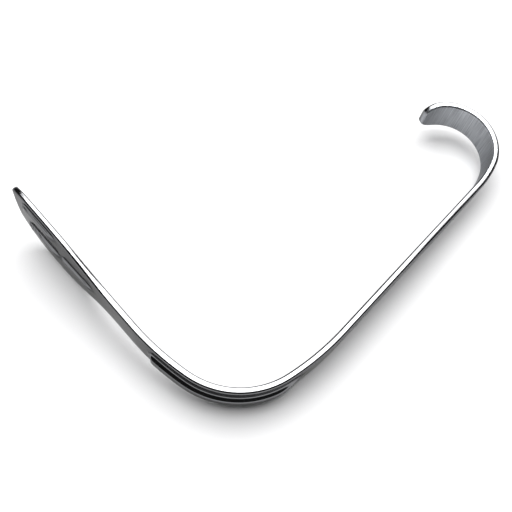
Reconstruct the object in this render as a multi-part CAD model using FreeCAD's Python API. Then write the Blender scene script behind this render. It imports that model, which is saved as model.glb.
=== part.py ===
# Handheld cheek retractor: one strip of stainless sheet, pressed, bent and polished all over.
# The strip is drawn along its middle line, seen edge on: a straight arm with the broad blade,
# one eased bend, a second straight arm, and a small hook that curls inwards.
# Across the strip, the outer side of the bend is "out", and the long edges are "near" and "far".
# The part lies on its far edge, as it comes to rest on a table. All lengths are in millimetres.

import FreeCAD, Part
import math
import os

# Sheet
sheet_thickness = 2.1
edge_radius = 0.45

# Middle line, from the end of the blade to the tip of the hook
blade_arm_length = 53.1
bend_radius = 25.3
bend_angle = 67.0
easing_radius = 85.0
easing_angle = 13.9
hook_arm_length = 66.3
hook_lead_radius = 35.9
hook_lead_angle = 15.6
hook_radius = 14.4
hook_angle = 149.0

# Outline of the strip
strap_width = 16.0
blade_near_step = 4.9
blade_far_step = 9.5
blade_length = 15.5
blade_neck_length = 32.0
blade_near_corner = 8.0
blade_near_corner_depth = 3.3
blade_far_corner = 13.0
blade_far_corner_depth = 17.0
hook_width = 11.9
hook_taper_length = 44.0
hook_tip_length = 8.0
hook_tip_width = 1.8
hook_tip_shift = 1.5

# The blade bulges outwards between its long edges, its far edge leans out, and its sheet is thinner
blade_cup = 0.3
blade_flare = 0.6
blade_thinning = 0.4

# Long stiffening bead on the outer side of the bend
bead_width = 6.4
bead_height = 1.5
bead_before_bend = 13.8
bead_after_bend = 9.0
bead_nose = 3.5
bead_fade = 14.0

# Two side ribs in the blade, and one middle rib behind them
rib_width = 6.0
rib_height = 0.8
rib_start = 4.5
rib_length = 17.5
rib_nose = 3.0
rib_fade = 7.0
near_rib_inset = 5.2
far_rib_inset = 12.4
middle_rib_width = 4.5
middle_rib_height = 0.6
middle_rib_start = 20.5
middle_rib_length = 17.5

# Fineness of the loft
points_across = 19
longest_step = 4.0
longest_turn = 14.0
nose_steps = 4
end_steps = 4
contact_samples = 44


def middle_line_runs():
    """Lengths, radii and turns of the middle line. A radius of None is a straight run."""
    easing = (easing_radius, math.radians(easing_angle))
    bend = (bend_radius, math.radians(bend_angle))
    lead = (hook_lead_radius, math.radians(hook_lead_angle))
    hook = (hook_radius, math.radians(hook_angle))
    runs = [(blade_arm_length, None)]
    runs += [(radius * turn, radius) for radius, turn in (easing, bend, easing)]
    runs.append((hook_arm_length, None))
    runs += [(radius * turn, radius) for radius, turn in (lead, hook)]
    return runs


RUNS = middle_line_runs()
TOTAL_LENGTH = sum(length for length, radius in RUNS)
BEND_START = blade_arm_length + RUNS[1][0]
BEND_END = BEND_START + RUNS[2][0]
HOOK_ARM_END = BEND_END + RUNS[3][0] + RUNS[4][0]
START_HEADING = -0.5 * math.radians(bend_angle + 2.0 * easing_angle)


def middle_point(station):
    """Plan position (x, y) and heading of the middle line at a length along it."""
    x, y, heading = 0.0, 0.0, START_HEADING
    left = min(max(station, 0.0), TOTAL_LENGTH)
    for length, radius in RUNS:
        step = min(left, length)
        if radius is None:
            x += step * math.cos(heading)
            y += step * math.sin(heading)
        else:
            turned = heading + step / radius
            x += radius * (math.sin(turned) - math.sin(heading))
            y -= radius * (math.cos(turned) - math.cos(heading))
            heading = turned
        left -= step
        if left <= 0.0:
            break
    return x, y, heading


def smooth(value):
    """Blend that leaves 0 and reaches 1 without a kink."""
    t = min(max(value, 0.0), 1.0)
    return t * t * t * (10.0 - 15.0 * t + 6.0 * t * t)


def bump(distance, half_width):
    """Cross-section of a pressed bead: 1 on its crest, 0 at its foot, level at both."""
    if abs(distance) >= half_width:
        return 0.0
    return 0.5 * (1.0 + math.cos(math.pi * distance / half_width))


def quarter_round(distance, radius):
    """How far a rounded corner draws an edge in, at a distance from the end of the strip."""
    if distance >= radius:
        return 0.0
    return radius - math.sqrt(max(radius * radius - (radius - distance) ** 2, 0.0))


def corner_draw(distance, length, depth):
    """How far an elliptical corner draws an edge in: a round corner stretched to its depth."""
    return quarter_round(distance, length) * depth / length


def blade_share(station):
    """1 in the broad blade, falling to 0 over its neck."""
    return 1.0 - smooth((station - blade_length) / blade_neck_length)


def half_widths(station):
    """Distances of the near and the far edge from the strap's centre line."""
    blade = blade_share(station)
    taper_start = HOOK_ARM_END - hook_taper_length
    taper = smooth((station - taper_start) / hook_taper_length)
    strap = 0.5 * (strap_width + (hook_width - strap_width) * taper)
    near = strap + blade_near_step * blade
    near -= corner_draw(station, blade_near_corner, blade_near_corner_depth)
    far = strap + blade_far_step * blade
    far -= corner_draw(station, blade_far_corner, blade_far_corner_depth)
    from_tip = TOTAL_LENGTH - station
    if from_tip < hook_tip_length:
        along = 1.0 - from_tip / hook_tip_length
        round_tip = math.sqrt(max(1.0 - along * along, 0.0))
        tip = 0.5 * (hook_tip_width + (hook_width - hook_tip_width) * round_tip)
        shift = hook_tip_shift * (1.0 - round_tip)
        near = min(near, tip + shift)
        far = min(far, tip - shift)
    return near, far


def rib_rise(station, start, length, nose, fade):
    """Height of a rib along the strip: a short nose, a level run and a long fade."""
    return smooth((station - start) / nose) * (1.0 - smooth((station - start - length + fade) / fade))


def pressed_out(station, across):
    """How far the sheet is pressed outwards at a place, from the strap's centre line."""
    near, far = half_widths(station)
    blade = blade_share(station)
    blade_near = 0.5 * strap_width + blade_near_step
    blade_far = 0.5 * strap_width + blade_far_step
    middle = 0.5 * (blade_near - blade_far)
    reach = 0.5 * (near + far)
    from_middle = (across - 0.5 * (near - far)) / reach
    rise = blade_cup * blade * max(1.0 - from_middle * from_middle, 0.0)
    rise += blade_flare * blade * ((near - across) / (near + far)) ** 2
    bead_start = BEND_START - bead_before_bend
    bead_length = BEND_END + bead_after_bend - bead_start
    bead = rib_rise(station, bead_start, bead_length, bead_nose, bead_fade)
    rise += bead_height * bead * bump(across, 0.5 * bead_width)
    side = rib_rise(station, rib_start, rib_length, rib_nose, rib_fade)
    rise += rib_height * side * bump(across - blade_near + near_rib_inset, 0.5 * rib_width)
    rise += rib_height * side * bump(across + blade_far - far_rib_inset, 0.5 * rib_width)
    tail = rib_rise(station, middle_rib_start, middle_rib_length, rib_nose, rib_fade)
    rib_centre = middle * blade
    rise += middle_rib_height * tail * bump(across - rib_centre, 0.5 * middle_rib_width)
    return rise


def place(station, across, out):
    """Point in space at a length along the strip, a distance across it and a height out of it."""
    x, y, heading = middle_point(station)
    return FreeCAD.Vector(x + out * math.sin(heading), y - out * math.cos(heading), across)


def section(station):
    """Ring of the sheet at a station: two faces as point rows, and the flats that round its edges."""
    near, far = half_widths(station)
    inset = quarter_round(min(station, TOTAL_LENGTH - station), edge_radius)
    radius = max(edge_radius - inset, 0.1)
    near -= inset
    far -= inset
    half = 0.5 * (sheet_thickness - blade_thinning * blade_share(station)) - inset
    bevel = radius * (1.0 - math.sqrt(0.5))

    def at(across, out):
        inner = max(min(across, near - radius), radius - far)
        return place(station, across, out + pressed_out(station, inner))

    def face(out):
        span = near + far - 2.0 * radius
        return [at(near - radius - span * k / (points_across - 1), out) for k in range(points_across)]

    def corner(across_sign, out_sign):
        edge = near if across_sign > 0 else far
        return [
            at(across_sign * (edge - radius), out_sign * half),
            at(across_sign * (edge - bevel), out_sign * (half - bevel)),
            at(across_sign * edge, out_sign * (half - radius)),
        ]

    outer_near, outer_far = corner(1, 1), corner(-1, 1)
    inner_near, inner_far = corner(1, -1), corner(-1, -1)
    far_ring = outer_far + inner_far[::-1]
    near_ring = inner_near + outer_near[::-1]
    flats = [[a, b] for ring in (far_ring, near_ring) for a, b in zip(ring, ring[1:])]
    return [face(half), face(-half)] + flats


def interpolated(points, parameters):
    """Smooth curve through points at the given parameters."""
    curve = Part.BSplineCurve()
    curve.interpolate(Points=points, Parameters=parameters)
    return curve


def strip_of_surface(rings, index, parameters):
    """Face through one stretch of every section, with poles shared along its long borders."""
    rows = len(rings[0][index])
    along = [interpolated([ring[index][row] for ring in rings], parameters) for row in range(rows)]
    poles = [[curve.getPole(k + 1) for curve in along] for k in range(along[0].NbPoles)]
    degree = min(rows - 1, 3)
    knots, counts = [0.0, 1.0], [2, 2]
    if rows > 2:
        even = [k / (rows - 1.0) for k in range(rows)]
        across = [interpolated(line, even) for line in poles]
        poles = [curve.getPoles() for curve in across]
        knots, counts = across[0].getKnots(), across[0].getMultiplicities()
    surface = Part.BSplineSurface()
    surface.buildFromPolesMultsKnots(poles, along[0].getMultiplicities(), counts,
                                     along[0].getKnots(), knots, False, False, 3, degree)
    return surface


def ring_parameters(rings):
    """Mean length of the long lines of the strip up to each section."""
    parameters = [0.0]
    for ring, following in zip(rings, rings[1:]):
        steps = [a[0].distanceToPoint(b[0]) for a, b in zip(ring, following)]
        parameters.append(parameters[-1] + sum(steps) / len(steps))
    return parameters


def end_cap(surfaces, parameter):
    """Flat face that closes the strip at one end."""
    edges = [surface.uIso(parameter).toShape() for surface in surfaces]
    return Part.Face(Part.Wire(Part.__sortEdges__(edges)))


def end_stations(radius):
    """Distances from an end that divide a rounded corner into even angles."""
    return [radius * (1.0 - math.cos(0.5 * math.pi * k / end_steps)) for k in range(end_steps + 1)]


def stations():
    """Lengths along the strip at which sections are drawn, closer where the form changes fast."""
    marks = set(end_stations(edge_radius) + end_stations(blade_near_corner))
    marks |= set(end_stations(blade_far_corner))
    marks |= {TOTAL_LENGTH - d for d in end_stations(edge_radius) + end_stations(hook_tip_length)}
    bead_start = BEND_START - bead_before_bend
    marks |= {bead_start + bead_nose * k / nose_steps for k in range(nose_steps + 1)}
    marks |= {rib_start + rib_nose * k / nose_steps for k in range(nose_steps + 1)}
    run_start = 0.0
    for length, radius in RUNS:
        count = max(int(math.ceil(length / longest_step)), 2)
        if radius is not None:
            count = max(count, int(math.ceil(length / radius / math.radians(longest_turn))))
        marks |= {run_start + length * k / count for k in range(count + 1)}
        run_start += length
    kept = [0.0]
    for mark in sorted(marks):
        closest = min(0.3, 0.02 + 0.2 * min(mark, TOTAL_LENGTH - mark))
        if mark - kept[-1] > closest and mark < TOTAL_LENGTH - 1e-6:
            kept.append(mark)
    return kept + [TOTAL_LENGTH]


def strip_solid():
    """The whole strip: faces carried through all its sections, closed at both ends."""
    rings = [section(station) for station in stations()]
    parameters = ring_parameters(rings)
    surfaces = [strip_of_surface(rings, index, parameters) for index in range(len(rings[0]))]
    faces = [surface.toShape() for surface in surfaces]
    faces += [end_cap(surfaces, parameters[0]), end_cap(surfaces, parameters[-1])]
    shell = Part.Shell(faces)
    shell.sewShape()
    solid = Part.Solid(shell)
    if solid.Volume < 0.0:
        solid.reverse()
    return solid


def resting_normal(centre):
    """Upward normal of the table plane that carries the strip on three points of its far edge."""
    samples = []
    for index in range(contact_samples + 1):
        station = TOTAL_LENGTH * index / contact_samples
        far = half_widths(station)[1]
        samples.append(place(station, -far, pressed_out(station, -far)))
    best = None
    for i, first in enumerate(samples):
        for j in range(i + 1, len(samples)):
            for k in range(j + 1, len(samples)):
                normal = (samples[j] - first).cross(samples[k] - first)
                if abs(normal.z) < 1e-6:
                    continue
                normal = normal * (1.0 / normal.z)
                height = first.z - normal.x * (centre.x - first.x) - normal.y * (centre.y - first.y)
                if best is not None and height <= best[0]:
                    continue
                if all((p - first).dot(normal) > -1e-4 for p in samples):
                    best = (height, normal)
    normal = best[1]
    normal.normalize()
    return normal


def lay_down(solid):
    """Turn the strip onto its far edge and set the origin under the middle of its box."""
    normal = resting_normal(solid.CenterOfMass)
    turn = FreeCAD.Rotation(normal, FreeCAD.Vector(0.0, 0.0, 1.0))
    solid.Placement = FreeCAD.Placement(FreeCAD.Vector(), turn)
    laid = solid.copy()
    box = laid.optimalBoundingBox(True, False)
    laid.translate(FreeCAD.Vector(-box.Center.x, -box.Center.y, -box.ZMin))
    return laid


def main():
    os.makedirs("parts", exist_ok=True)
    solid = lay_down(strip_solid())
    solid.exportStep("parts/retractor_strip.step")
    box = solid.optimalBoundingBox(True, False)
    print("valid", solid.isValid(), "volume", round(solid.Volume, 2))
    print("box", round(box.XLength, 2), round(box.YLength, 2), round(box.ZLength, 2))


main()
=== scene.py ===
"""A cheek retractor bent from one polished steel strip, on a pale table under soft light."""

import math

import bpy
import numpy as np
from bpy.props import FloatProperty, FloatVectorProperty, PointerProperty
from mathutils import Matrix, Vector


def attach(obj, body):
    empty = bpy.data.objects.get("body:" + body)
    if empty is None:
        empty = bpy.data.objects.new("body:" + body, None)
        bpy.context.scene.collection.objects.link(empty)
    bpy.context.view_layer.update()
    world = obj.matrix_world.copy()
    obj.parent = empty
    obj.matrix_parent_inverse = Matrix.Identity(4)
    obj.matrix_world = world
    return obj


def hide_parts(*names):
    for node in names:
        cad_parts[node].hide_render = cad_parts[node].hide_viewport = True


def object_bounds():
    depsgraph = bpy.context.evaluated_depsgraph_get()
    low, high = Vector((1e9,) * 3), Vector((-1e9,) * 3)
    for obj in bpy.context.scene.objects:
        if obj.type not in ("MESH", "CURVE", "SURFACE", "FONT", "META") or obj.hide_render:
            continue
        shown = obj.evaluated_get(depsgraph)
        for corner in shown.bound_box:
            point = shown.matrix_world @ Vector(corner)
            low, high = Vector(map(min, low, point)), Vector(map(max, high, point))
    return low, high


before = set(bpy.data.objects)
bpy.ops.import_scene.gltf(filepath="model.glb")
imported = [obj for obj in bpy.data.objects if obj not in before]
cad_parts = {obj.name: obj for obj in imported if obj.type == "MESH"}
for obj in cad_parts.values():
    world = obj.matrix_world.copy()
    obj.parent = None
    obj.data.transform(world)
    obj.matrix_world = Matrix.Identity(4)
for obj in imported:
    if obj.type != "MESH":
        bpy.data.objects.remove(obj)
CAD_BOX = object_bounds()

bl_info = {
    "name": "Cheek retractor",
    "version": (1, 0, 0),
    "blender": (4, 5, 0),
    "location": "3D View > Sidebar > Retractor",
    "description": "Builds a bent steel cheek retractor and the table it lies on",
    "category": "Add Mesh",
}

MM = 0.001
IMAGE_SIZE = 512


class StripSizes(bpy.types.PropertyGroup):
    """Sizes of the strip: path and widths as in its solid, edges and ribs as they look."""

    sheet_thickness: FloatProperty(
        name="Sheet thickness", description="Thickness of the steel sheet", default=2.1 * MM, unit="LENGTH")
    edge_radius: FloatProperty(
        name="Edge radius", description="Rounding of the long edges and ends",
        default=0.74 * MM, unit="LENGTH")
    strap_width: FloatProperty(
        name="Strap width", description="Width of the strip between its ends",
        default=16.0 * MM, unit="LENGTH")
    blade_arm_length: FloatProperty(
        name="Blade arm", description="Straight length of the arm with the blade",
        default=53.1 * MM, unit="LENGTH")
    hook_arm_length: FloatProperty(
        name="Hook arm", description="Straight length of the arm with the hook",
        default=66.3 * MM, unit="LENGTH")
    bend_radius: FloatProperty(
        name="Bend radius", description="Radius of the bend at mid-sheet", default=25.3 * MM, unit="LENGTH")
    bend_angle: FloatProperty(
        name="Bend angle", description="Turn of the tight part of the bend",
        default=math.radians(67.0), subtype="ANGLE")
    easing_radius: FloatProperty(
        name="Easing radius", description="Radius on both sides of the bend",
        default=85.0 * MM, unit="LENGTH")
    easing_angle: FloatProperty(
        name="Easing angle", description="Turn of each easing", default=math.radians(13.9), subtype="ANGLE")
    hook_lead_radius: FloatProperty(
        name="Hook lead radius", description="Radius that leads into the hook",
        default=35.9 * MM, unit="LENGTH")
    hook_lead_angle: FloatProperty(
        name="Hook lead angle", description="Turn that leads into the hook",
        default=math.radians(15.6), subtype="ANGLE")
    hook_radius: FloatProperty(
        name="Hook radius", description="Radius of the hook at mid-sheet", default=14.4 * MM, unit="LENGTH")
    hook_angle: FloatProperty(
        name="Hook angle", description="Turn of the hook", default=math.radians(149.0), subtype="ANGLE")
    hook_width: FloatProperty(
        name="Hook width", description="Width of the hook", default=11.9 * MM, unit="LENGTH")
    blade_cup: FloatProperty(
        name="Blade cup", description="Outward bulge of the blade", default=0.3 * MM, unit="LENGTH")
    bead_height: FloatProperty(
        name="Bead height", description="Height of the long pressed bead", default=1.35 * MM, unit="LENGTH")
    rib_height: FloatProperty(
        name="Rib height", description="Height of the two side ribs of the blade",
        default=0.75 * MM, unit="LENGTH")


class StripLooks(bpy.types.PropertyGroup):
    """Colours and finish of the steel and the table."""

    steel_colour: FloatVectorProperty(
        name="Steel", description="Reflectance of the steel", subtype="COLOR", default=(0.2, 0.202, 0.208))
    edge_tint: FloatProperty(
        name="Edge tint", description="Reflectance of the steel at grazing angles",
        default=0.35, subtype="FACTOR")
    satin_colour: FloatVectorProperty(
        name="Satin", description="Reflectance of the satin face of the hook", subtype="COLOR",
        default=(0.44, 0.455, 0.48))
    polish: FloatProperty(
        name="Roughness", description="Roughness of the polished steel", default=0.13, subtype="FACTOR")
    satin_rise: FloatProperty(
        name="Satin rise", description="Extra roughness of the satin hook", default=0.22, subtype="FACTOR")
    table_colour: FloatVectorProperty(
        name="Table", description="Colour of the table", subtype="COLOR", default=(0.9, 0.9, 0.905))


BLADE_NEAR_STEP = 4.89 * MM
BLADE_THINNING = 0.4 * MM
BLADE_FAR_STEP = 9.5 * MM
BLADE_LENGTH = 15.5 * MM
BLADE_NECK_LENGTH = 32.0 * MM
BLADE_NEAR_CORNER = 8.0 * MM
BLADE_NEAR_CORNER_DEPTH = 3.3 * MM
BLADE_FAR_CORNER = 13.0 * MM
BLADE_FAR_CORNER_DEPTH = 17.0 * MM
BLADE_FLARE = 0.6 * MM
HOOK_TAPER_LENGTH = 44.0 * MM
HOOK_TIP_LENGTH = 6.0 * MM
HOOK_TIP_WIDTH = 1.6 * MM
HOOK_TIP_ROUNDING = 0.9 * MM
SATIN_BLEND = 9.0 * MM
HOOK_TIP_SHIFT = 0.8 * MM
BEAD_WIDTH = 6.8 * MM
BEAD_FLANK = 1.9 * MM
BEAD_BEFORE_BEND = 13.8 * MM
BEAD_AFTER_BEND = 9.0 * MM
BEAD_NOSE = 3.5 * MM
BEAD_FADE = 14.0 * MM
RIB_WIDTH = 4.0 * MM
RIB_START = 4.5 * MM
RIB_LENGTH = 17.5 * MM
RIB_NOSE = 2.0 * MM
RIB_FADE = 6.0 * MM
RIB_FLANK = 0.85 * MM
NEAR_RIB_INSET = 5.2 * MM
FAR_RIB_INSET = 12.4 * MM
MIDDLE_RIB_WIDTH = 3.4 * MM
MIDDLE_RIB_HEIGHT = 0.6 * MM
MIDDLE_RIB_START = 20.5 * MM
MIDDLE_RIB_LENGTH = 17.5 * MM

FACE_POINTS = 74
CORNER_POINTS = 7
STATION_STEP = 0.5 * MM
CLOSEST_STATIONS = 0.015 * MM
SHARPEST_EDGE = 0.02 * MM
END_STEPS = 10
CONTACT_SAMPLES = 44

CAMERA_IN_STRIP = Vector((53.055, -94.758, 208.0)) * MM
CAMERA_RIGHT = Vector((0.99616, 0.00621, 0.08738))
CAMERA_UP = Vector((-0.03714, 0.93336, 0.35702))
FOCAL_PIXELS = 745.0
SENSOR_WIDTH = 36.0

CEILING = ((0.05, 0.15, 0.987), 0.885, 0.92)
WALL = ((0.3, 0.75, 0.59), 0.88, 0.94)
ROOM_DARK = 0.03
ROOM_BRIGHT = 7.0
ROOM_FILL = 0.06
LAMP_WIDTH = 1.3
LAMP_DEPTH = 1.0
LAMP_WATTS = 20.0
LAMP_PLACE = (0.0, 0.22, 1.0)
TABLE_SIZE = 3.0
TABLE_ROUGHNESS = 0.9

STREAK_GRAIN = (2600.0, 55.0, 1.0)
CLOUD_GRAIN = (260.0, 120.0, 1.0)
TONE_START = 0.32
TONE_STOP = 0.68
POLISHED_TONE = 0.86
SATIN_TONE = 0.5
ROUGHNESS_BELOW = 0.04
ROUGHNESS_ABOVE = 0.06
RELIEF_HEIGHT = 0.02 * MM
RELIEF_POLISHED = 0.1
RELIEF_SATIN = 0.9


def smooth(value):
    """Blend from 0 to 1 with level ends: six t to the fifth, less fifteen t to the fourth,
    plus ten t cubed."""
    t = np.clip(value, 0.0, 1.0)
    return t * t * t * (10.0 - 15.0 * t + 6.0 * t * t)


def ridge(distance, half_width, flank):
    """Cross-section of a pressed rib: 1 on its crest, and a smooth step down each flank to its foot."""
    return smooth((half_width - np.abs(distance)) / flank)


def quarter_round(distance, radius):
    """Draw-in of a round corner: the radius less the height of its circle at that distance."""
    reach = np.clip(radius - distance, 0.0, radius)
    return radius - np.sqrt(np.maximum(radius * radius - reach * reach, 0.0))


def corner_draw(distance, length, depth):
    """Draw-in of an elliptical corner: a round corner stretched to its depth."""
    return quarter_round(distance, length) * depth / length


def rib_rise(station, start, length, nose, fade):
    """Height of a rib along the strip: it rises over its nose and falls over its fade."""
    return smooth((station - start) / nose) * (1.0 - smooth((station - start - length + fade) / fade))


class Strip:
    """The strip as a surface of two parameters: the station along it and the place round its section."""

    def __init__(self, sizes):
        self.sizes = sizes
        easing = (sizes.easing_radius * sizes.easing_angle, sizes.easing_radius)
        bend = (sizes.bend_radius * sizes.bend_angle, sizes.bend_radius)
        lead = (sizes.hook_lead_radius * sizes.hook_lead_angle, sizes.hook_lead_radius)
        hook = (sizes.hook_radius * sizes.hook_angle, sizes.hook_radius)
        straight = ((sizes.blade_arm_length, None), (sizes.hook_arm_length, None))
        self.runs = [straight[0], easing, bend, easing, straight[1], lead, hook]
        lengths = [length for length, radius in self.runs]
        self.length = sum(lengths)
        self.bend_start = sum(lengths[:2])
        self.bend_end = sum(lengths[:3])
        self.hook_arm_end = sum(lengths[:5])
        self.start_heading = -0.5 * sizes.bend_angle - sizes.easing_angle

    def middle_line(self, station):
        """Plan position and heading of the middle line: straight runs and tangent arcs, added up."""
        x = np.zeros_like(station)
        y = np.zeros_like(station)
        heading = np.full_like(station, self.start_heading)
        left = np.clip(station, 0.0, self.length)
        for length, radius in self.runs:
            step = np.clip(left, 0.0, length)
            if radius is None:
                x = x + step * np.cos(heading)
                y = y + step * np.sin(heading)
            else:
                turned = heading + step / radius
                x = x + radius * (np.sin(turned) - np.sin(heading))
                y = y - radius * (np.cos(turned) - np.cos(heading))
                heading = turned
            left = left - step
        return x, y, heading

    def blade_share(self, station):
        """1 in the broad blade, falling to 0 over its neck."""
        return 1.0 - smooth((station - BLADE_LENGTH) / BLADE_NECK_LENGTH)

    def half_widths(self, station):
        """Distances of the near and far edges from the strap's centre line."""
        sizes = self.sizes
        blade = self.blade_share(station)
        taper = smooth((station - self.hook_arm_end + HOOK_TAPER_LENGTH) / HOOK_TAPER_LENGTH)
        strap = 0.5 * (sizes.strap_width + (sizes.hook_width - sizes.strap_width) * taper)
        near = strap + BLADE_NEAR_STEP * blade
        near = near - corner_draw(station, BLADE_NEAR_CORNER, BLADE_NEAR_CORNER_DEPTH)
        far = strap + BLADE_FAR_STEP * blade
        far = far - corner_draw(station, BLADE_FAR_CORNER, BLADE_FAR_CORNER_DEPTH)
        along = np.clip(1.0 - (self.length - station) / HOOK_TIP_LENGTH, 0.0, 1.0)
        round_tip = np.sqrt(1.0 - along * along)
        tip = 0.5 * (HOOK_TIP_WIDTH + (sizes.hook_width - HOOK_TIP_WIDTH) * round_tip)
        shift = HOOK_TIP_SHIFT * (1.0 - round_tip)
        in_tip = self.length - station < HOOK_TIP_LENGTH
        near = np.where(in_tip, np.minimum(near, tip + shift), near)
        far = np.where(in_tip, np.minimum(far, tip - shift), far)
        return near, far

    def pressed_out(self, station, across):
        """Outward offset of the sheet: the blade's cup and flare, plus ribs with smooth flanks and ends."""
        sizes = self.sizes
        near, far = self.half_widths(station)
        blade = self.blade_share(station)
        blade_near = 0.5 * sizes.strap_width + BLADE_NEAR_STEP
        blade_far = 0.5 * sizes.strap_width + BLADE_FAR_STEP
        from_middle = (across - 0.5 * (near - far)) / (0.5 * (near + far))
        rise = sizes.blade_cup * blade * np.maximum(1.0 - from_middle ** 2, 0.0)
        rise = rise + BLADE_FLARE * blade * ((near - across) / (near + far)) ** 2
        bead_start = self.bend_start - BEAD_BEFORE_BEND
        bead_length = self.bend_end + BEAD_AFTER_BEND - bead_start
        bead = rib_rise(station, bead_start, bead_length, BEAD_NOSE, BEAD_FADE)
        rise = rise + sizes.bead_height * bead * ridge(across, 0.5 * BEAD_WIDTH, BEAD_FLANK)
        side = rib_rise(station, RIB_START, RIB_LENGTH, RIB_NOSE, RIB_FADE)
        near_rib = ridge(across - blade_near + NEAR_RIB_INSET, 0.5 * RIB_WIDTH, RIB_FLANK)
        far_rib = ridge(across + blade_far - FAR_RIB_INSET, 0.5 * RIB_WIDTH, RIB_FLANK)
        rise = rise + sizes.rib_height * side * (near_rib + far_rib)
        tail = rib_rise(station, MIDDLE_RIB_START, MIDDLE_RIB_LENGTH, RIB_NOSE, RIB_FADE)
        centre = 0.5 * (blade_near - blade_far) * blade
        return rise + MIDDLE_RIB_HEIGHT * tail * ridge(across - centre, 0.5 * MIDDLE_RIB_WIDTH, RIB_FLANK)

    def place(self, station, across, out):
        """Point at a station, a distance across the strip and a height out of its middle surface."""
        x, y, heading = self.middle_line(station)
        return np.stack([x + out * np.sin(heading), y - out * np.cos(heading), across + 0.0 * x], axis=-1)

    def stations(self):
        """Even steps along the strip, with round ends divided into even angles."""
        count = int(self.length / STATION_STEP)
        even = np.linspace(0.0, self.length, count + 1)
        turn = np.linspace(0.0, 0.5 * np.pi, END_STEPS + 1)
        ends = []
        for radius in (self.sizes.edge_radius, BLADE_NEAR_CORNER, BLADE_FAR_CORNER):
            ends.append(radius * (1.0 - np.cos(turn)))
        for radius in (HOOK_TIP_ROUNDING, HOOK_TIP_LENGTH):
            ends.append(self.length - radius * (1.0 - np.cos(turn)))
        marks = np.unique(np.round(np.concatenate([even] + ends), 7))
        kept = np.concatenate([[True], np.diff(marks) > CLOSEST_STATIONS])
        return marks[kept]

    def ring(self):
        """Sections at every station: quarter circles of the edge radius joined by faces and edges.
        The inner side of the hook is satin."""
        station = self.stations()[:, None]
        near, far = self.half_widths(station)
        inset = np.maximum(quarter_round(station, self.sizes.edge_radius),
                           quarter_round(self.length - station, HOOK_TIP_ROUNDING))
        radius = np.maximum(self.sizes.edge_radius - inset, SHARPEST_EDGE)
        near = near - inset
        far = far - inset
        half = 0.5 * (self.sizes.sheet_thickness - BLADE_THINNING * self.blade_share(station)) - inset
        turn = np.linspace(0.0, 0.5 * np.pi, CORNER_POINTS)[None, :]
        across_part = 1.0 - np.sin(turn)
        out_part = 1.0 - np.cos(turn)
        share = np.linspace(0.0, 1.0, FACE_POINTS)[None, 1:-1]
        face = near - radius - (near + far - 2.0 * radius) * share
        near_across = near - radius * across_part
        far_across = -far + radius * across_part
        corner_out = half - radius * out_part
        parts = [face, far_across, far_across[:, ::-1], face[:, ::-1], near_across, near_across[:, ::-1]]
        out = [half + 0.0 * face, corner_out, -corner_out[:, ::-1], -half + 0.0 * face,
               -corner_out, corner_out[:, ::-1]]
        across = np.concatenate(parts, axis=1)
        out = np.concatenate(out, axis=1)
        inner_side = np.repeat([0.0, 0.0, 1.0, 1.0, 1.0, 0.0], [part.shape[1] for part in parts])
        satin = smooth((station - self.hook_arm_end) / SATIN_BLEND) * inner_side
        station = np.broadcast_to(station, across.shape)
        flat = np.clip(across, radius - far, near - radius)
        return station, across, out + self.pressed_out(station, flat), satin

    def contact_points(self):
        """Points of the far edge that may touch the table."""
        station = np.linspace(0.0, self.length, CONTACT_SAMPLES + 1)
        far = self.half_widths(station)[1]
        return self.place(station, -far, self.pressed_out(station, -far))


def volume_centre(points, faces):
    """Centre of mass of a closed mesh: the mean of its tetrahedra from the origin, weighed by volume."""
    a, b, c = (points[faces[:, k]] for k in range(3))
    volume = np.einsum("ij,ij->i", a, np.cross(b, c))
    return (volume[:, None] * (a + b + c) / 4.0).sum(axis=0) / volume.sum()


def resting_turn(samples, centre):
    """Rotation that lays the strip down: of all planes through three samples with none below them,
    the highest one under the centre of mass is the table."""
    count = len(samples)
    i, j, k = np.array([(i, j, k) for i in range(count) for j in range(i + 1, count)
                        for k in range(j + 1, count)]).T
    normal = np.cross(samples[j] - samples[i], samples[k] - samples[i])
    usable = np.abs(normal[:, 2]) > 1e-12
    normal = normal[usable] / normal[usable, 2:3]
    base = samples[i[usable]]
    depth = (samples[None, :, :] - base[:, None, :]) @ normal[:, :, None]
    carries = depth[..., 0].min(axis=1) > -1e-7
    height = base[:, 2] - ((centre - base)[:, :2] * normal[:, :2]).sum(axis=1)
    height[~carries] = -np.inf
    best = Vector(normal[int(np.argmax(height))]).normalized()
    return best.rotation_difference(Vector((0.0, 0.0, 1.0))).to_matrix()


def ring_faces(rows, columns):
    """Quads between neighbouring rings."""
    row = np.arange(rows - 1)[:, None]
    column = np.arange(columns)[None, :]
    following = (column + 1) % columns
    quads = np.stack([row * columns + column, (row + 1) * columns + column,
                      (row + 1) * columns + following, row * columns + following], axis=-1)
    return quads.reshape(-1, 4)


def end_quads(columns, offset, flip):
    """Quads that close an end: the section is cut along its middle, and each point on the
    outer side is joined to the point opposite it on the inner side."""
    half = columns // 2
    start = columns - CORNER_POINTS
    left = (start + np.arange(half)) % columns
    right = (start - 1 - np.arange(half)) % columns
    quads = np.stack([left[:-1], left[1:], right[1:], right[:-1]], axis=-1) + offset
    return quads[:, ::-1] if flip else quads


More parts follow.
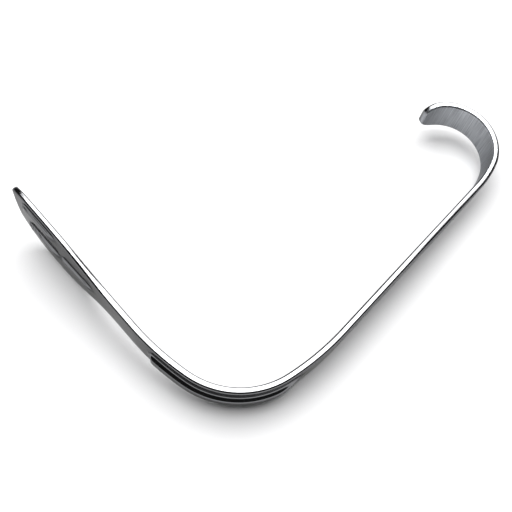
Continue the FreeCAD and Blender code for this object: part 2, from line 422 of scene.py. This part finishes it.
def mesh_object(name, points, quads, station, across, satin):
    """Mesh with smooth shading, a map of metres along and across the strip, and its satin share."""
    mesh = bpy.data.meshes.new(name)
    mesh.from_pydata(points.tolist(), [], quads.tolist())
    loops = np.empty(len(mesh.loops), dtype=np.int32)
    mesh.loops.foreach_get("vertex_index", loops)
    flat = mesh.uv_layers.new(name="strip_map")
    flat.data.foreach_set("uv", np.stack([station[loops], across[loops]], axis=-1).ravel())
    share = mesh.attributes.new("satin_share", "FLOAT", "POINT")
    share.data.foreach_set("value", satin)
    mesh.polygons.foreach_set("use_smooth", np.ones(len(mesh.polygons), dtype=bool))
    mesh.update()
    piece = bpy.data.objects.new(name, mesh)
    bpy.context.scene.collection.objects.link(piece)
    return piece


def add_node(tree, kind, **values):
    """New shader node with some of its settings and sockets."""
    node = tree.nodes.new(kind)
    for key, value in values.items():
        if key in node.inputs:
            node.inputs[key].default_value = value
        else:
            setattr(node, key, value)
    return node


def steel_material(looks):
    """Polished stainless steel with a fine grain across the strip, satin inside the hook, from the
    piece's own map and satin share. A Mix node's sockets are taken by number."""
    material = bpy.data.materials.new("polished_strip_steel")
    material.use_nodes = True
    tree = material.node_tree
    shader = tree.nodes["Principled BSDF"]
    shader.inputs["Metallic"].default_value = 1.0
    shader.inputs["Specular Tint"].default_value = (looks.edge_tint, looks.edge_tint, looks.edge_tint, 1.0)
    link = tree.links.new
    strip_map = add_node(tree, "ShaderNodeUVMap", uv_map="strip_map")
    streak_map = add_node(tree, "ShaderNodeMapping")
    streak_map.inputs["Scale"].default_value = STREAK_GRAIN
    streaks = add_node(tree, "ShaderNodeTexNoise", Scale=1.0, Detail=3.0, Roughness=0.6)
    cloud_map = add_node(tree, "ShaderNodeMapping")
    cloud_map.inputs["Scale"].default_value = CLOUD_GRAIN
    clouds = add_node(tree, "ShaderNodeTexNoise", Scale=1.0, Detail=4.0, Roughness=0.55)
    link(strip_map.outputs["UV"], streak_map.inputs["Vector"])
    link(strip_map.outputs["UV"], cloud_map.inputs["Vector"])
    link(streak_map.outputs["Vector"], streaks.inputs["Vector"])
    link(cloud_map.outputs["Vector"], clouds.inputs["Vector"])
    satin = add_node(tree, "ShaderNodeAttribute", attribute_name="satin_share")
    tones = []
    for colour, low in ((looks.steel_colour, POLISHED_TONE), (looks.satin_colour, SATIN_TONE)):
        tone = add_node(tree, "ShaderNodeValToRGB")
        tone.color_ramp.elements[0].position = TONE_START
        tone.color_ramp.elements[0].color = [low * c for c in colour] + [1.0]
        tone.color_ramp.elements[1].position = TONE_STOP
        tone.color_ramp.elements[1].color = list(colour) + [1.0]
        link(streaks.outputs["Fac"], tone.inputs["Fac"])
        tones.append(tone)
    blend = add_node(tree, "ShaderNodeMix", data_type="RGBA")
    link(satin.outputs["Fac"], blend.inputs[0])
    link(tones[0].outputs["Color"], blend.inputs[6])
    link(tones[1].outputs["Color"], blend.inputs[7])
    link(blend.outputs[2], shader.inputs["Base Color"])
    rough = add_node(tree, "ShaderNodeMapRange")
    rough.inputs["To Min"].default_value = looks.polish - ROUGHNESS_BELOW
    rough.inputs["To Max"].default_value = looks.polish + ROUGHNESS_ABOVE
    link(clouds.outputs["Fac"], rough.inputs["Value"])
    brushed = add_node(tree, "ShaderNodeMath", operation="MULTIPLY_ADD")
    brushed.inputs[1].default_value = looks.satin_rise
    link(satin.outputs["Fac"], brushed.inputs[0])
    link(rough.outputs["Result"], brushed.inputs[2])
    link(brushed.outputs[0], shader.inputs["Roughness"])
    relief = add_node(tree, "ShaderNodeBump", Distance=RELIEF_HEIGHT)
    depth = add_node(tree, "ShaderNodeMapRange")
    depth.inputs["To Min"].default_value = RELIEF_POLISHED
    depth.inputs["To Max"].default_value = RELIEF_SATIN
    link(satin.outputs["Fac"], depth.inputs["Value"])
    link(depth.outputs["Result"], relief.inputs["Strength"])
    link(streaks.outputs["Fac"], relief.inputs["Height"])
    link(relief.outputs["Normal"], shader.inputs["Normal"])
    return material


def table_material(looks):
    """Matt white board."""
    material = bpy.data.materials.new("white_table_board")
    material.use_nodes = True
    shader = material.node_tree.nodes["Principled BSDF"]
    shader.inputs["Base Color"].default_value = list(looks.table_colour) + [1.0]
    shader.inputs["Roughness"].default_value = TABLE_ROUGHNESS
    shader.inputs["Specular IOR Level"].default_value = 0.0
    return material


class RETRACTOR_OT_strip(bpy.types.Operator):
    """Build the steel strip"""

    bl_idname = "retractor.strip"
    bl_label = "Retractor strip"

    def execute(self, context):
        strip = Strip(context.scene.retractor_sizes)
        station, across, out, satin = strip.ring()
        rows, columns = station.shape
        points = strip.place(station.ravel(), across.ravel(), out.ravel())
        sides = ring_faces(rows, columns)
        first_end = end_quads(columns, 0, False)
        last_end = end_quads(columns, (rows - 1) * columns, True)
        quads = np.concatenate([sides, first_end, last_end])
        triangles = np.concatenate([quads[:, [0, 1, 2]], quads[:, [0, 2, 3]]])
        turn = resting_turn(strip.contact_points(), volume_centre(points, triangles))
        laid = points @ np.array(turn).T
        low, high = laid.min(axis=0), laid.max(axis=0)
        shift = np.array([0.5 * (low[0] + high[0]), 0.5 * (low[1] + high[1]), low[2] - CAD_BOX[0][2]])
        piece = mesh_object("polished_strip", laid - shift, quads,
                            station.ravel(), across.ravel(), satin.ravel())
        piece.data.materials.append(steel_material(context.scene.retractor_looks))
        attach(piece, "root")
        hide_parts("retractor_strip")
        lay = turn.to_4x4()
        lay.translation = -Vector(shift)
        context.scene["strip_lay"] = [value for line in lay for value in line]
        return {"FINISHED"}


class RETRACTOR_OT_stage(bpy.types.Operator):
    """Add the table, the soft light and the camera"""

    bl_idname = "retractor.stage"
    bl_label = "Table, light and camera"

    def execute(self, context):
        scene = context.scene
        mesh = bpy.data.meshes.new("table")
        half = 0.5 * TABLE_SIZE
        corners = [(-half, -half, 0), (half, -half, 0), (half, half, 0), (-half, half, 0)]
        mesh.from_pydata(corners, [], [(0, 1, 2, 3)])
        table = bpy.data.objects.new("table", mesh)
        scene.collection.objects.link(table)
        mesh.materials.append(table_material(scene.retractor_looks))
        self.add_light(scene)
        self.add_world(scene)
        self.add_camera(scene)
        return {"FINISHED"}

    def add_light(self, scene):
        """Soft lamp high behind the strip, so that its shadow falls towards the camera."""
        lamp = bpy.data.lights.new("soft_box", "AREA")
        lamp.shape = "RECTANGLE"
        lamp.size = LAMP_WIDTH
        lamp.size_y = LAMP_DEPTH
        lamp.energy = LAMP_WATTS
        box = bpy.data.objects.new("soft_box", lamp)
        box.location = LAMP_PLACE
        box.rotation_euler = (-box.location).to_track_quat("-Z", "Y").to_euler()
        scene.collection.objects.link(box)

    def add_world(self, scene):
        """Dim even fill, and for reflections a dark room with a bright ceiling and one bright wall.
        The sockets of a Mix node share their names, so they are taken by number."""
        world = bpy.data.worlds.new("studio_room")
        world.use_nodes = True
        tree = world.node_tree
        link = tree.links.new
        direction = add_node(tree, "ShaderNodeTexCoord")
        room = None
        for axis, start, stop in CEILING, WALL:
            facing = add_node(tree, "ShaderNodeVectorMath", operation="DOT_PRODUCT")
            facing.inputs[1].default_value = axis
            level = add_node(tree, "ShaderNodeMapRange", interpolation_type="SMOOTHSTEP")
            level.inputs["From Min"].default_value = start
            level.inputs["From Max"].default_value = stop
            link(direction.outputs["Generated"], facing.inputs[0])
            link(facing.outputs["Value"], level.inputs["Value"])
            if room is None:
                room = level
                continue
            both = add_node(tree, "ShaderNodeMath", operation="MAXIMUM")
            link(room.outputs[0], both.inputs[0])
            link(level.outputs[0], both.inputs[1])
            room = both
        seen = add_node(tree, "ShaderNodeMapRange")
        seen.inputs["To Min"].default_value = ROOM_DARK
        seen.inputs["To Max"].default_value = ROOM_BRIGHT
        link(room.outputs[0], seen.inputs["Value"])
        path = add_node(tree, "ShaderNodeLightPath")
        strength = add_node(tree, "ShaderNodeMix", data_type="FLOAT")
        strength.inputs[2].default_value = ROOM_FILL
        link(path.outputs["Is Glossy Ray"], strength.inputs[0])
        link(seen.outputs[0], strength.inputs[3])
        background = tree.nodes["Background"]
        background.inputs["Color"].default_value = (1.0, 1.0, 1.0, 1.0)
        link(strength.outputs[0], background.inputs["Strength"])
        scene.world = world

    def add_camera(self, scene):
        """Camera of the photograph: its place and axes are known beside the strip before it is laid down."""
        values = scene["strip_lay"]
        lay = Matrix([values[k:k + 4] for k in range(0, 16, 4)])
        right = CAMERA_RIGHT.normalized()
        up = (CAMERA_UP - right * CAMERA_UP.dot(right)).normalized()
        back = right.cross(up)
        axes = Matrix((right, up, back)).transposed()
        data = bpy.data.cameras.new("camera")
        data.sensor_width = SENSOR_WIDTH
        data.lens = SENSOR_WIDTH * FOCAL_PIXELS / IMAGE_SIZE
        data.clip_start = 0.01
        camera = bpy.data.objects.new("camera", data)
        camera.matrix_world = lay @ Matrix.Translation(CAMERA_IN_STRIP) @ axes.to_4x4()
        scene.collection.objects.link(camera)
        scene.camera = camera
        scene.view_settings.view_transform = "Standard"


class RETRACTOR_PT_panel(bpy.types.Panel):
    """Shows the sizes and looks, and builds the strip and its stage"""

    bl_label = "Retractor"
    bl_idname = "RETRACTOR_PT_panel"
    bl_space_type = "VIEW_3D"
    bl_region_type = "UI"
    bl_category = "Retractor"

    def draw(self, context):
        for group in (context.scene.retractor_sizes, context.scene.retractor_looks):
            for name in group.__annotations__:
                self.layout.prop(group, name)
        self.layout.operator("retractor.strip")
        self.layout.operator("retractor.stage")


CLASSES = (StripSizes, StripLooks, RETRACTOR_OT_strip, RETRACTOR_OT_stage, RETRACTOR_PT_panel)


def register():
    for cls in CLASSES:
        bpy.utils.register_class(cls)
    bpy.types.Scene.retractor_sizes = PointerProperty(type=StripSizes)
    bpy.types.Scene.retractor_looks = PointerProperty(type=StripLooks)


def unregister():
    del bpy.types.Scene.retractor_looks
    del bpy.types.Scene.retractor_sizes
    for cls in reversed(CLASSES):
        bpy.utils.unregister_class(cls)


def main():
    register()
    bpy.ops.retractor.strip()
    bpy.ops.retractor.stage()


if __name__ == "__main__":
    main()
